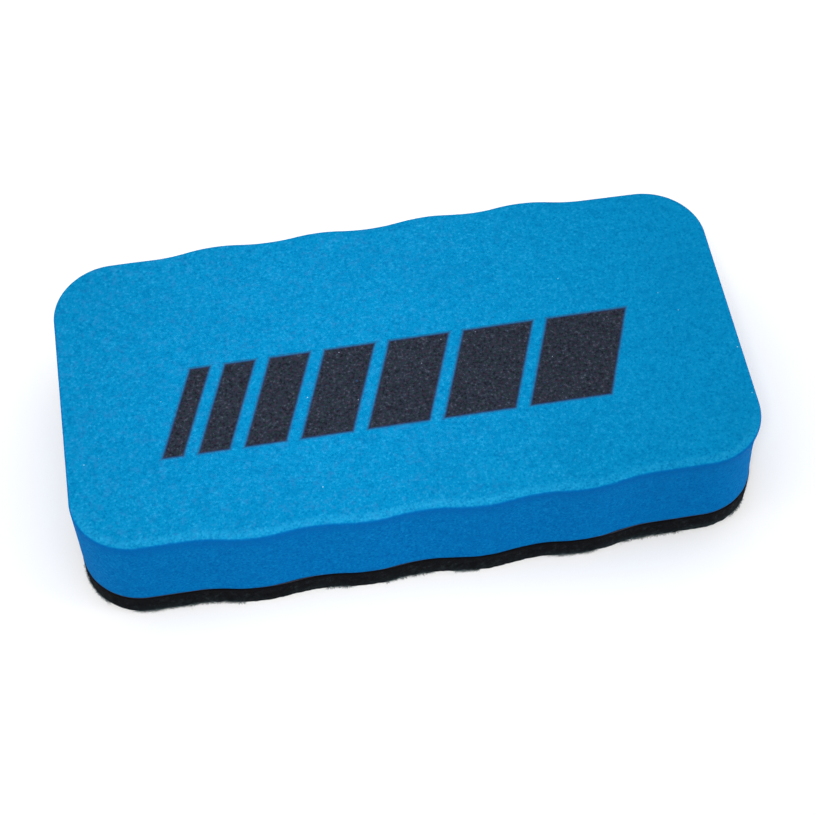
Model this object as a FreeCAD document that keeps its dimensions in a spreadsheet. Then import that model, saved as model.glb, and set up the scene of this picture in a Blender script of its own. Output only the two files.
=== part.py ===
import FreeCAD, Part

# A magnetic board eraser: a block of closed-cell foam with wavy long sides, two ferrite disc magnets
# glued into pockets in its underside, and a felt pad bonded under it. A plain striped mark is printed
# on the top. Nothing moves. Millimetres, X along the length, Y across, Z up, with the origin at the
# middle of the wiping face, where the felt meets the board.
import math
import os

import Sketcher

SIZES = [
    ("overall_length", 110.0, "end face to end face"),
    ("shoulder_width", 55.4, "between the straight parts of the long sides"),
    ("foam_height", 15.6, "foam block alone"),
    ("felt_thickness", 4.25, "felt pad alone"),
    ("film_thickness", 0.15, "bonding film between foam and felt"),
    ("corner_radius", 10.0, "vertical corners of the outline"),
    ("top_edge_radius", 0.6, "soft edge round the top of the foam"),
    ("wave_pitch", 17.2, "from one crest of the finger grip to the next"),
    ("crest_rise", 1.2, "crests above the straight part of the side"),
    ("valley_depth", 0.64, "valleys below the crests"),
    ("crest_radius", 26.0, "convex arcs of the grip"),
    ("foot_radius", 28.0, "concave arcs where the grip runs out into the side"),
    ("magnet_diameter", 20.0, "ferrite disc"),
    ("magnet_height", 5.0, "ferrite disc"),
    ("magnet_chamfer", 0.4, "both rims of a ferrite disc"),
    ("magnet_spacing", 56.0, "between the centres of the two discs"),
    ("pocket_clearance", 0.3, "gap round a disc in its pocket"),
    ("glue_thickness", 0.4, "glue between a disc and its pocket's floor"),
    ("glue_diameter", 16.0, "glue between a disc and its pocket's floor"),
    ("ink_thickness", 0.05, "screen-printed ink"),
    ("mark_length", 78.0, "printed stripes, end to end"),
    ("mark_width", 16.4, "printed stripes, front to back"),
    ("mark_slant", 6.0, "how far each stripe leans along X"),
    ("mark_gap", 2.4, "between two stripes"),
    ("mark_offset_x", -0.8, "middle of the stripes from the middle of the block"),
    ("mark_offset_y", -4.0, "middle of the stripes from the middle of the block"),
]
STRIPE_SHARES = (2, 3, 4, 5, 6, 7, 8)  # how the printed length is shared among the stripes
CRESTS = (-1.5, -0.5, 0.5, 1.5)  # crest positions along a side, in pitches
START, END, CENTRE = 1, 2, 3  # the point numbers of a sketch arc or line
X_AXIS = -1  # the sketch's horizontal axis, as a geometry number
ORIGIN = (X_AXIS, START)  # the sketch origin, as geometry and point number
TOLERANCE = 0.001  # mm, when edges are picked by their height
VOLUME_SLACK = 0.01  # share by which the pockets' volume may differ from the two cylinders

doc = FreeCAD.newDocument("board_eraser")


def make_sheet():
    """The driving dimensions, one named cell each."""
    made = doc.addObject("Spreadsheet::Sheet", "sizes")
    for row, (alias, value, meaning) in enumerate(SIZES, start=1):
        made.set(f"A{row}", alias)
        made.set(f"B{row}", str(value))
        made.set(f"C{row}", meaning)
        made.setAlias(f"B{row}", alias)
    doc.recompute()
    return made


sheet = make_sheet()


def size(alias):
    """The value of one cell."""
    return float(sheet.get(alias))


def origin_plane(body, role):
    """One of the body's own origin planes."""
    return next(plane for plane in body.Origin.OriginFeatures if plane.Role == role)


def new_body(name, base_expression):
    """A body whose own XY plane is at a height worked out from the sheet."""
    body = doc.addObject("PartDesign::Body", name)
    body.Label = name
    body.setExpression("Placement.Base.z", base_expression)
    return body


def new_sketch(body, name):
    """A sketch on the body's own XY plane."""
    sketch = body.newObject("Sketcher::SketchObject", name)
    sketch.AttachmentSupport = [(origin_plane(body, "XY_Plane"), "")]
    sketch.MapMode = "FlatFace"
    return sketch


def dimension(sketch, kind, where, value, name, expression):
    """A named dimension of the sketch, bound to the sheet."""
    index = sketch.addConstraint(Sketcher.Constraint(kind, *where, value))
    sketch.renameConstraint(index, name)
    sketch.setExpression(f"Constraints.{name}", expression)


def add_pad(body, sketch, name, expression):
    """A pad of the sketch, upward."""
    pad = body.newObject("PartDesign::Pad", name)
    pad.Profile = sketch
    pad.setExpression("Length", expression)
    sketch.Visibility = False
    return pad


# ---- the wavy outline, shared by the foam, the bonding film and the felt --------------------------


class Outline:
    """Centres, radii and joints of the arcs that make the right-hand half of the rear long side."""

    def __init__(self):
        half_pitch = size("wave_pitch") / 2
        depth = size("valley_depth")
        radii_sum = (half_pitch**2 + depth**2) / (2 * depth)
        self.side = size("shoulder_width") / 2
        self.end = size("overall_length") / 2
        self.corner = size("corner_radius")
        self.crest = size("crest_radius")
        self.valley = radii_sum - self.crest
        self.foot = size("foot_radius")
        self.crest_centre_y = self.side + size("crest_rise") - self.crest
        self.valley_centre_y = self.crest_centre_y + math.sqrt(radii_sum**2 - half_pitch**2)
        self.foot_centre_y = self.side + self.foot
        reach = self.crest + self.foot
        self.foot_run = math.sqrt(reach**2 - (self.foot_centre_y - self.crest_centre_y) ** 2)
        self.wave_angle = math.asin(half_pitch / radii_sum)
        self.foot_angle = math.asin(self.foot_run / reach)


def add_arc(sketch, centre, radius, first, last):
    """A counter-clockwise arc between two angles in radians."""
    circle = Part.Circle(FreeCAD.Vector(*centre, 0), FreeCAD.Vector(0, 0, 1), radius)
    return sketch.addGeometry(Part.ArcOfCircle(circle, first, last))


def add_line(sketch, start, end):
    """A straight line between two points."""
    return sketch.addGeometry(Part.LineSegment(FreeCAD.Vector(*start, 0), FreeCAD.Vector(*end, 0)))


def long_side(sketch, shape, sign, turned):
    """One long side, counter-clockwise: shoulder, foot, crests and valleys, foot, shoulder.

    sign is 1 for the rear side and -1 for the front one, and turned is the half turn between them.
    Returns the chain as (geometry, its first point, its last point) and its pieces by kind.
    """
    pitch = size("wave_pitch")
    up = math.pi / 2 + turned
    down = up + math.pi
    outer = CRESTS[-1] * pitch
    foot_x = outer + shape.foot_run
    foot_y = sign * shape.foot_centre_y
    shoulder_end = shape.end - shape.corner
    chain = []
    kinds = {"shoulder": [], "foot": [], "crest": [], "valley": []}

    def keep(kind, geometry, clockwise):
        ends = (END, START) if clockwise else (START, END)
        chain.append((geometry, *ends))
        kinds[kind].append(geometry)

    y = sign * shape.side
    keep("shoulder", add_line(sketch, (sign * shoulder_end, y), (sign * foot_x, y)), False)
    foot = (sign * foot_x, foot_y)
    keep("foot", add_arc(sketch, foot, shape.foot, down - shape.foot_angle, down), True)
    for number in range(len(CRESTS)):
        place = CRESTS[-1 - number]
        first = shape.foot_angle if number == 0 else shape.wave_angle
        last = shape.foot_angle if number == len(CRESTS) - 1 else shape.wave_angle
        crest = (sign * place * pitch, sign * shape.crest_centre_y)
        keep("crest", add_arc(sketch, crest, shape.crest, up - first, up + last), False)
        if number < len(CRESTS) - 1:
            valley = (sign * (place - 0.5) * pitch, sign * shape.valley_centre_y)
            ends = (down - shape.wave_angle, down + shape.wave_angle)
            keep("valley", add_arc(sketch, valley, shape.valley, *ends), True)
    foot = (-sign * foot_x, foot_y)
    keep("foot", add_arc(sketch, foot, shape.foot, down, down + shape.foot_angle), True)
    keep("shoulder", add_line(sketch, (-sign * foot_x, y), (-sign * shoulder_end, y)), False)
    return chain, kinds


def add_outline(body, name):
    """The closed outline as a fully constrained sketch: 28 lines and arcs, each tangent to the next."""
    sketch = new_sketch(body, name)
    shape = Outline()
    rear, rear_kinds = long_side(sketch, shape, 1, 0.0)
    front, front_kinds = long_side(sketch, shape, -1, math.pi)
    x, y = shape.end - shape.corner, shape.side - shape.corner
    quarter = math.pi / 2
    corners = []
    for turn, (sign_x, sign_y) in enumerate(((1, 1), (-1, 1), (-1, -1), (1, -1))):
        centre = (sign_x * x, sign_y * y)
        corners.append(add_arc(sketch, centre, shape.corner, turn * quarter, (turn + 1) * quarter))
    left = add_line(sketch, (-shape.end, y), (-shape.end, -y))
    right = add_line(sketch, (shape.end, -y), (shape.end, y))

    def run(geometry):
        return (geometry, START, END)

    ring = [run(corners[0])] + rear + [run(corners[1]), run(left), run(corners[2])]
    ring += front + [run(corners[3]), run(right)]
    for here, after in zip(ring, ring[1:] + ring[:1]):
        sketch.addConstraint(Sketcher.Constraint("Tangent", here[0], here[2], after[0], after[1]))

    equal_radii(sketch, rear_kinds["crest"] + front_kinds["crest"], "crest", "sizes.crest_radius")
    equal_radii(sketch, rear_kinds["foot"] + front_kinds["foot"], "foot", "sizes.foot_radius")
    valley_radius = (
        "((sizes.wave_pitch / 2)^2 + sizes.valley_depth^2) / (2 * sizes.valley_depth)"
        " - sizes.crest_radius"
    )
    equal_radii(sketch, rear_kinds["valley"] + front_kinds["valley"], "valley", valley_radius)
    equal_radii(sketch, corners, "corner", "sizes.corner_radius")

    for side, sign, kinds in (("rear", 1, rear_kinds), ("front", -1, front_kinds)):
        for number, crest in enumerate(kinds["crest"]):
            place = sign * CRESTS[-1 - number]
            dimension(
                sketch,
                "DistanceX",
                (*ORIGIN, crest, CENTRE),
                place * size("wave_pitch"),
                f"{side}_crest_{number + 1}_x",
                f"{place} * sizes.wave_pitch",
            )
            dimension(
                sketch,
                "DistanceY",
                (*ORIGIN, crest, CENTRE),
                sign * shape.crest_centre_y,
                f"{side}_crest_{number + 1}_y",
                f"{sign} * (sizes.shoulder_width / 2 + sizes.crest_rise - sizes.crest_radius)",
            )
        for number, shoulder in enumerate(kinds["shoulder"]):
            sketch.addConstraint(Sketcher.Constraint("Horizontal", shoulder))
            dimension(
                sketch,
                "DistanceY",
                (*ORIGIN, shoulder, START),
                sign * shape.side,
                f"{side}_shoulder_{number + 1}",
                f"{sign} * sizes.shoulder_width / 2",
            )
    for side, sign, line in (("left", -1, left), ("right", 1, right)):
        sketch.addConstraint(Sketcher.Constraint("Vertical", line))
        dimension(
            sketch,
            "DistanceX",
            (*ORIGIN, line, START),
            sign * shape.end,
            f"{side}_end",
            f"{sign} * sizes.overall_length / 2",
        )
    return sketch


def equal_radii(sketch, arcs, name, expression):
    """One radius dimension, and every other arc equal to the first."""
    radius = sketch.Geometry[arcs[0]].Radius
    dimension(sketch, "Radius", (arcs[0],), radius, f"{name}_radius", expression)
    for arc in arcs[1:]:
        sketch.addConstraint(Sketcher.Constraint("Equal", arcs[0], arc))


# ---- the pieces -----------------------------------------------------------------------------------

# Heights of the layers, from the wiping face up.
FELT_BASE = "0 mm"
FILM_BASE = "sizes.felt_thickness"
FOAM_BASE = FILM_BASE + " + sizes.film_thickness"
FOAM_TOP = FOAM_BASE + " + sizes.foam_height"
MAGNETS = (("left", -1), ("right", 1))


def make_foam_body():
    """The foam block, with its soft top edge and the two round pockets in its underside."""
    body = new_body("foam_body", FOAM_BASE)
    pad = add_pad(body, add_outline(body, "foam_outline"), "foam_block", "sizes.foam_height")
    doc.recompute()
    height = size("foam_height")
    top_edges = [
        f"Edge{number}"
        for number, edge in enumerate(pad.Shape.Edges, start=1)
        if min(vertex.Point.z for vertex in edge.Vertexes) > height - TOLERANCE
    ]
    soft_edge = body.newObject("PartDesign::Fillet", "soft_top_edge")
    soft_edge.Base = (pad, top_edges)
    soft_edge.setExpression("Radius", "sizes.top_edge_radius")
    doc.recompute()

    sketch = new_sketch(body, "pocket_circles")
    radius = size("magnet_diameter") / 2 + size("pocket_clearance")
    circles = []
    for side, sign in MAGNETS:
        x = sign * size("magnet_spacing") / 2
        circle = Part.Circle(FreeCAD.Vector(x, 0, 0), FreeCAD.Vector(0, 0, 1), radius)
        circles.append(sketch.addGeometry(circle))
        sketch.addConstraint(Sketcher.Constraint("PointOnObject", circles[-1], CENTRE, X_AXIS))
        dimension(
            sketch,
            "DistanceX",
            (*ORIGIN, circles[-1], CENTRE),
            x,
            f"{side}_pocket_x",
            f"{sign} * sizes.magnet_spacing / 2",
        )
    equal_radii(sketch, circles, "pocket", "sizes.magnet_diameter / 2 + sizes.pocket_clearance")
    pockets = body.newObject("PartDesign::Pocket", "magnet_pockets")
    pockets.Profile = sketch
    pockets.Reversed = True
    pockets.setExpression("Length", "sizes.magnet_height + sizes.glue_thickness")
    sketch.Visibility = False
    doc.recompute()
    depth = size("magnet_height") + size("glue_thickness")
    wanted = len(MAGNETS) * math.pi * radius**2 * depth
    cut = soft_edge.Shape.Volume - pockets.Shape.Volume
    if abs(cut - wanted) > VOLUME_SLACK * wanted:
        raise ValueError(f"the pockets took {cut:.1f} mm3 and not {wanted:.1f} mm3")
    return body


def make_sheet_layer(name, base_expression, thickness_expression):
    """A flat layer with the block's whole outline."""
    body = new_body(name, base_expression)
    add_pad(body, add_outline(body, f"{name}_outline"), f"{name}_layer", thickness_expression)
    return body


def place_on_pocket_axis(piece, sign):
    """Moves a piece along X onto one of the two pocket axes."""
    piece.setExpression("Placement.Base.x", f"{sign} * sizes.magnet_spacing / 2")


def make_magnet(name, sign):
    """A ferrite disc, chamfered round both rims, flush with the foam's underside."""
    body = new_body(name, FOAM_BASE)
    place_on_pocket_axis(body, sign)
    sketch = new_sketch(body, f"{name}_circle")
    circle = Part.Circle(FreeCAD.Vector(), FreeCAD.Vector(0, 0, 1), size("magnet_diameter") / 2)
    rim = sketch.addGeometry(circle)
    sketch.addConstraint(Sketcher.Constraint("Coincident", rim, CENTRE, *ORIGIN))
    equal_radii(sketch, [rim], "disc", "sizes.magnet_diameter / 2")
    pad = add_pad(body, sketch, f"{name}_disc", "sizes.magnet_height")
    doc.recompute()
    rims = [
        f"Edge{number}"
        for number, edge in enumerate(pad.Shape.Edges, start=1)
        if isinstance(edge.Curve, Part.Circle)
    ]
    chamfer = body.newObject("PartDesign::Chamfer", f"{name}_rims")
    chamfer.Base = (pad, rims)
    chamfer.setExpression("Size", "sizes.magnet_chamfer")
    return body


def make_glue(name, sign):
    """The glue between a disc and its pocket's floor."""
    glue = doc.addObject("Part::Cylinder", name)
    glue.Label = name
    place_on_pocket_axis(glue, sign)
    glue.setExpression("Radius", "sizes.glue_diameter / 2")
    glue.setExpression("Height", "sizes.glue_thickness")
    glue.setExpression("Placement.Base.z", FOAM_BASE + " + sizes.magnet_height")
    return glue


def make_printed_mark():
    """The printed stripes: slanted bars that widen evenly from left to right."""
    body = new_body("printed_mark", FOAM_TOP)
    sketch = new_sketch(body, "stripe_outlines")
    slant = size("mark_slant")
    gap = size("mark_gap")
    half_width = size("mark_width") / 2
    ink = size("mark_length") - slant - gap * (len(STRIPE_SHARES) - 1)
    middle_y = size("mark_offset_y")
    left = size("mark_offset_x") - size("mark_length") / 2
    for number, share in enumerate(STRIPE_SHARES):
        width = ink * share / sum(STRIPE_SHARES)
        corners = [
            (left, middle_y - half_width),
            (left + width, middle_y - half_width),
            (left + width + slant, middle_y + half_width),
            (left + slant, middle_y + half_width),
        ]
        lines = [add_line(sketch, *pair) for pair in zip(corners, corners[1:] + corners[:1])]
        constrain_stripe(sketch, lines, number, width)
        left += width + gap
    add_pad(body, sketch, "ink", "sizes.ink_thickness")
    return body


def constrain_stripe(sketch, lines, number, width):
    """Ties one stripe's four lines to the sheet."""
    name = f"stripe_{number + 1}"
    for here, after in zip(lines, lines[1:] + lines[:1]):
        sketch.addConstraint(Sketcher.Constraint("Coincident", here, END, after, START))
    front, _, rear, _ = lines
    for line in (front, rear):
        sketch.addConstraint(Sketcher.Constraint("Horizontal", line))
    total = sum(STRIPE_SHARES)
    ink = f"(sizes.mark_length - sizes.mark_slant - {len(STRIPE_SHARES) - 1} * sizes.mark_gap)"
    first_x = (
        f"sizes.mark_offset_x - sizes.mark_length / 2 + {number} * sizes.mark_gap"
        f" + {ink} * {sum(STRIPE_SHARES[:number])} / {total}"
    )
    first_y = "sizes.mark_offset_y - sizes.mark_width / 2"
    share = f"{ink} * {STRIPE_SHARES[number]} / {total}"
    start = sketch.Geometry[front].StartPoint
    far = sketch.Geometry[rear].EndPoint
    limits = (
        ("DistanceX", (*ORIGIN, front, START), start.x, "x", first_x),
        ("DistanceY", (*ORIGIN, front, START), start.y, "y", first_y),
        ("DistanceX", (front, START, front, END), width, "front_width", share),
        ("DistanceX", (rear, END, rear, START), width, "rear_width", share),
        ("DistanceX", (front, START, rear, END), far.x - start.x, "slant", "sizes.mark_slant"),
        ("DistanceY", (front, START, rear, END), far.y - start.y, "depth", "sizes.mark_width"),
    )
    for kind, where, value, word, expression in limits:
        dimension(sketch, kind, where, value, f"{name}_{word}", expression)


pieces = [
    make_foam_body(),
    make_sheet_layer("felt_adhesive", FILM_BASE, "sizes.film_thickness"),
    make_sheet_layer("felt_pad", FELT_BASE, "sizes.felt_thickness"),
    make_printed_mark(),
]
for side, sign in MAGNETS:
    pieces += [make_magnet(f"magnet_{side}", sign), make_glue(f"magnet_glue_{side}", sign)]
doc.recompute()

for thing in doc.Objects:
    if {"Invalid", "Error"} & set(thing.State):
        raise ValueError(f"{thing.Name} is {thing.State}")
    if thing.TypeId == "Sketcher::SketchObject" and not thing.FullyConstrained:
        raise ValueError(f"{thing.Name} isn't fully constrained")
for piece in pieces:
    if piece.Shape.isNull() or not piece.Shape.isValid():
        raise ValueError(f"{piece.Label} has no valid shape")

os.makedirs("parts", exist_ok=True)
for piece in pieces:
    piece.Shape.exportStep(f"parts/{piece.Label}.step")
    box = piece.Shape.BoundBox
    print(f"{piece.Label}: {len(piece.Shape.Solids)} solids, {piece.Shape.Volume:.1f} mm3,", end=" ")
    print(f"X {box.XMin:.2f} to {box.XMax:.2f}, Y {box.YMin:.2f} to {box.YMax:.2f},", end=" ")
    print(f"Z {box.ZMin:.2f} to {box.ZMax:.2f}")
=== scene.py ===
# A magnetic board eraser: blue closed-cell foam with wavy sides, a printed top and a black felt sole.
# Lengths are in metres in the CAD frame: X along the length, Y across, Z up from the wiping face.
import math

import bpy
import numpy as np
from mathutils import Matrix, Vector, noise
from mathutils.geometry import delaunay_2d_cdt


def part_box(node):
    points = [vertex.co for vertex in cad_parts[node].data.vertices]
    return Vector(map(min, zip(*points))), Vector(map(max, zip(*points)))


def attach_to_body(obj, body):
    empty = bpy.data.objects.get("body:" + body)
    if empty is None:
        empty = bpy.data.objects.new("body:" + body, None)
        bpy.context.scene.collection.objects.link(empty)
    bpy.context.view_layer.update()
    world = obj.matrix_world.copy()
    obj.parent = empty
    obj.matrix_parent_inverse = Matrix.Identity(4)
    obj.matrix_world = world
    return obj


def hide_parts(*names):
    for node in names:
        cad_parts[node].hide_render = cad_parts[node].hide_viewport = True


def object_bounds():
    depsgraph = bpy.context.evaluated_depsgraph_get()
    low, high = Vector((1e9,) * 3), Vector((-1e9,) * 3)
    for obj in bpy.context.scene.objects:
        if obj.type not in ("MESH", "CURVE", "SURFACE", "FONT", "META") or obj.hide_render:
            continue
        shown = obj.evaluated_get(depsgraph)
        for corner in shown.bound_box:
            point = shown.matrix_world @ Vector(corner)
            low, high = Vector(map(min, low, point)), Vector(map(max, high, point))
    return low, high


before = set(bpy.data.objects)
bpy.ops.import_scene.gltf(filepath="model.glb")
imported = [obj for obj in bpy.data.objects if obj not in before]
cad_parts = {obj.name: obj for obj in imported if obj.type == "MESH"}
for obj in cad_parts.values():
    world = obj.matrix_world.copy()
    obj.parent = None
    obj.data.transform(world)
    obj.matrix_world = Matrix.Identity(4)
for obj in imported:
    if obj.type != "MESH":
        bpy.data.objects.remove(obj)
CAD_LOW, CAD_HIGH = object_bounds()

MM = 0.001
ROOT = "root"
UP = np.array([0.0, 0.0, 1.0])
rng = np.random.default_rng(7)

# Each uneven surface has a noise pattern of its own, by number. The stripes' patterns count up from the
# ink's.
TOP_PATTERN, WALL_PATTERN, INK_PATTERN, COARSE_FELT, FINE_FELT, TUFT_PATTERN = 1, 2, 3, 21, 22, 31
PATTERN_STEP = (17.3, 5.1, 9.7)  # from one pattern to the next, in the noise's own space

# ---- places read from the frame -------------------------------------------------------------------

FOAM_LOW, FOAM_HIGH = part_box("foam_body")
FELT_LOW, FELT_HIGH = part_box("felt_pad")
MARK_LOW, MARK_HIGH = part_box("printed_mark")
MAGNETS = [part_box("magnet_left"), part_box("magnet_right")]
GLUE_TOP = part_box("magnet_glue_left")[1].z

# ---- the outline's own sizes, as in the CAD -------------------------------------------------------

CORNER_RADIUS = 10.0 * MM
CREST_RISE = 1.2 * MM
VALLEY_DEPTH = 0.64 * MM
WAVE_PITCH = 17.2 * MM
CREST_RADIUS = 26.0 * MM
FOOT_RADIUS = 28.0 * MM  # of the hollow that leads from the outer crests to the straight stretches
POCKET_CLEARANCE = 0.3 * MM

# The waves sit a little left of the middle. The shift fades out on the straight stretch by each corner.
WAVE_SHIFT = 1.0 * MM
SHIFT_FADE = 7.5 * MM

# The third crest from the left is fuller than the die line on its right flank, on both sides. Both sides
# also stand out gently right of the middle, and the back side again by its left corner.
CREST_SWELL = {"height": 0.36 * MM, "middle": 12.0 * MM, "width": 5.0 * MM}
FRONT_SWELL = {"height": 0.15 * MM, "middle": 10 * MM, "width": 32 * MM}
BACK_SWELL = {"height": 0.42 * MM, "middle": 30 * MM, "width": 18 * MM}
CORNER_SWELL = {"height": 0.28 * MM, "middle": -43 * MM, "width": 9 * MM}


# ---- the wavy outline -----------------------------------------------------------------------------


def arc(centre, radius, start, end):
    """A round stretch of the outline. It is convex where the angle grows and concave where it falls."""
    length = radius * abs(end - start)
    return {"centre": centre, "radius": radius, "start": start, "end": end, "length": length}


def line(start, end, normal):
    """A straight stretch of the outline."""
    return {"from": start, "to": end, "normal": normal, "length": math.dist(start, end)}


def quarter_outline():
    """The stretches from the middle of the +X end to the middle of the +Y side."""
    side = FOAM_HIGH.y - CREST_RISE
    end = FOAM_HIGH.x
    half_pitch = WAVE_PITCH / 2
    radii_sum = (half_pitch**2 + VALLEY_DEPTH**2) / (2 * VALLEY_DEPTH)
    valley_radius = radii_sum - CREST_RADIUS
    crest_y = FOAM_HIGH.y - CREST_RADIUS
    valley_y = crest_y + math.sqrt(radii_sum**2 - half_pitch**2)
    reach = CREST_RADIUS + FOOT_RADIUS
    foot_run = math.sqrt(reach**2 - (side + FOOT_RADIUS - crest_y) ** 2)
    outer = 1.5 * WAVE_PITCH
    up, down = math.pi / 2, -math.pi / 2
    wave = math.asin(half_pitch / radii_sum)
    foot = math.asin(foot_run / reach)
    return [
        line((end, 0.0), (end, side - CORNER_RADIUS), (1.0, 0.0)),
        arc((end - CORNER_RADIUS, side - CORNER_RADIUS), CORNER_RADIUS, 0.0, up),
        line((end - CORNER_RADIUS, side), (outer + foot_run, side), (0.0, 1.0)),
        arc((outer + foot_run, side + FOOT_RADIUS), FOOT_RADIUS, down, down - foot),
        arc((outer, crest_y), CREST_RADIUS, up - foot, up + wave),
        arc((WAVE_PITCH, valley_y), valley_radius, down + wave, down - wave),
        arc((half_pitch, crest_y), CREST_RADIUS, up - wave, up + wave),
        arc((0.0, valley_y), valley_radius, down + wave, down),
    ]


def point_on(stretch, share):
    """The point and outward normal at a share of one stretch."""
    if "centre" not in stretch:
        start, end = np.array(stretch["from"]), np.array(stretch["to"])
        return start + share * (end - start), np.array(stretch["normal"])
    angle = stretch["start"] + share * (stretch["end"] - stretch["start"])
    radial = np.array([math.cos(angle), math.sin(angle)])
    outward = 1.0 if stretch["end"] > stretch["start"] else -1.0
    return np.array(stretch["centre"]) + stretch["radius"] * radial, outward * radial


def swell(form, along):
    """How far one of the swells stands out at places along the length."""
    return form["height"] * np.exp(-(((along - form["middle"]) / form["width"]) ** 2))


def outline(spacing):
    """Evenly spaced points and outward normals round the whole outline, counter-clockwise."""
    stretches = quarter_outline()
    total = sum(stretch["length"] for stretch in stretches)
    count = round(total / spacing)
    points, normals = [], []
    for number in range(count):
        along = (number + 0.5) * total / count
        for stretch in stretches:
            if along <= stretch["length"]:
                break
            along -= stretch["length"]
        point, normal = point_on(stretch, along / stretch["length"])
        points.append(point)
        normals.append(normal)
    flips = [((1, 1), 1), ((-1, 1), -1), ((-1, -1), 1), ((1, -1), -1)]
    points, normals = (
        np.concatenate([(np.array(which) * flip)[::step] for flip, step in flips])
        for which in (points, normals)
    )
    to_corner = FOAM_HIGH.x - CORNER_RADIUS - np.abs(points[:, 0])
    points[:, 0] -= WAVE_SHIFT * np.clip(to_corner / SHIFT_FADE, 0, 1)
    along = points[:, 0]
    back = swell(BACK_SWELL, along) + swell(CORNER_SWELL, along)
    side = np.where(normals[:, 1] > 0, back, swell(FRONT_SWELL, along))
    proud = (swell(CREST_SWELL, along) + side) * np.abs(normals[:, 1])
    return points + normals * proud[:, None], normals


def inside(places, ring):
    """True for each place that lies inside a closed ring."""
    after = np.roll(ring, -1, axis=0)
    held = np.zeros(len(places), bool)
    for (x0, y0), (x1, y1) in zip(ring, after):
        crosses = (y0 > places[:, 1]) != (y1 > places[:, 1])
        with np.errstate(divide="ignore", invalid="ignore"):
            at = x0 + (places[:, 1] - y0) * (x1 - x0) / (y1 - y0)
        held ^= crosses & (places[:, 0] < at)
    return held


def circle(centre, radius, count):
    """A counter-clockwise ring of points."""
    angles = np.arange(count) * 2 * math.pi / count
    return np.array(centre) + radius * np.stack([np.cos(angles), np.sin(angles)], axis=1)


# ---- mesh building --------------------------------------------------------------------------------

CLEAR_OF_EDGE = 0.45  # share of a cap's spacing that its inner points keep from its edge
STRAY = 0.12  # share of the spacing by which inner points leave their even grid
BATCH = 64  # edge points compared at a time
SAME_PLACE = 1e-9  # points closer than this are one


class Shape:
    """Collects rings of vertices, with a value for each, and the faces between them."""

    def __init__(self):
        self.points = []
        self.values = []
        self.faces = []

    def add_points(self, points, values):
        """Adds vertices with a value, or a value each, and returns their numbers."""
        first = len(self.points)
        self.points += points
        self.values += list(np.broadcast_to(values, len(points)))
        return list(range(first, len(self.points)))

    def ring(self, flat, heights, values=0.0):
        """Adds a ring of flat points at a height, or at a height each, and returns its vertex numbers."""
        heights = np.broadcast_to(heights, len(flat))
        return self.add_points([(x, y, z) for (x, y), z in zip(flat, heights)], values)

    def bridge(self, low, high):
        """Quads between two rings, facing outward when low is under high."""
        for here, after in zip(range(len(low)), [*range(1, len(low)), 0]):
            self.faces.append((low[here], low[after], high[after], high[here]))

    def cap(self, outer, holes, spacing, upward, height):
        """Fills the flat space inside a ring, round any holes, with evenly spread triangles."""
        rings = [outer, *holes]
        edge = [number for ring in rings for number in ring]
        flat = np.array([self.points[number][:2] for number in edge])
        bounds = [np.array([self.points[number][:2] for number in ring]) for ring in rings]
        low, high = bounds[0].min(axis=0), bounds[0].max(axis=0)
        rows = np.arange(low[1], high[1], spacing * math.sqrt(3) / 2)
        grid = [
            (x + (row % 2) * spacing / 2, y)
            for row, y in enumerate(rows)
            for x in np.arange(low[0], high[0], spacing)
        ]
        grid = np.array(grid)
        keep = inside(grid, bounds[0])
        for hole in bounds[1:]:
            keep &= ~inside(grid, hole)
        grid = grid[keep]
        nearest = np.full(len(grid), np.inf)
        for start in range(0, len(flat), BATCH):
            gaps = np.linalg.norm(grid[:, None] - flat[None, start : start + BATCH], axis=2)
            nearest = np.minimum(nearest, gaps.min(axis=1))
        grid = grid[nearest > spacing * CLEAR_OF_EDGE]
        grid = grid + rng.uniform(-STRAY, STRAY, grid.shape) * spacing
        numbers = edge + self.add_points([(x, y, height(x, y)) for x, y in grid], 0.0)
        borders = []
        at = 0
        for ring in rings:
            borders += [(at + here, at + (here + 1) % len(ring)) for here in range(len(ring))]
            at += len(ring)
        places = [Vector(place) for place in np.concatenate([flat, grid])]
        found, _, triangles, origins, _, _ = delaunay_2d_cdt(places, borders, [], 0, SAME_PLACE)
        middles = np.array([np.mean([found[corner] for corner in face], axis=0) for face in triangles])
        keep = inside(middles, bounds[0])
        for hole in bounds[1:]:
            keep &= ~inside(middles, hole)
        for face, kept in zip(triangles, keep):
            if kept:
                corners = [numbers[origins[corner][0]] for corner in face]
                self.faces.append(tuple(corners if upward else corners[::-1]))

    def build(self, name, material, sharp_angle=None, values_name=None):
        """Makes the object, and keeps the values as an attribute where they have a name."""
        mesh = bpy.data.meshes.new(name)
        mesh.from_pydata(self.points, [], self.faces)
        if values_name:
            mesh.attributes.new(values_name, "FLOAT", "POINT").data.foreach_set("value", self.values)
        mesh.validate()
        mesh.shade_smooth()
        if sharp_angle:
            mesh.set_sharp_from_angle(angle=math.radians(sharp_angle))
        mesh.materials.append(material)
        made = bpy.data.objects.new(name, mesh)
        bpy.context.scene.collection.objects.link(made)
        return made


def level(height):
    """A flat surface, as a function of the place on it."""
    return lambda x, y: height


def wobble(place, wavelength, pattern):
    """Smooth noise from about -1 to 1."""
    return noise.noise(Vector(place) / wavelength + Vector([pattern * step for step in PATTERN_STEP]))


# ---- node helpers ---------------------------------------------------------------------------------


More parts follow.
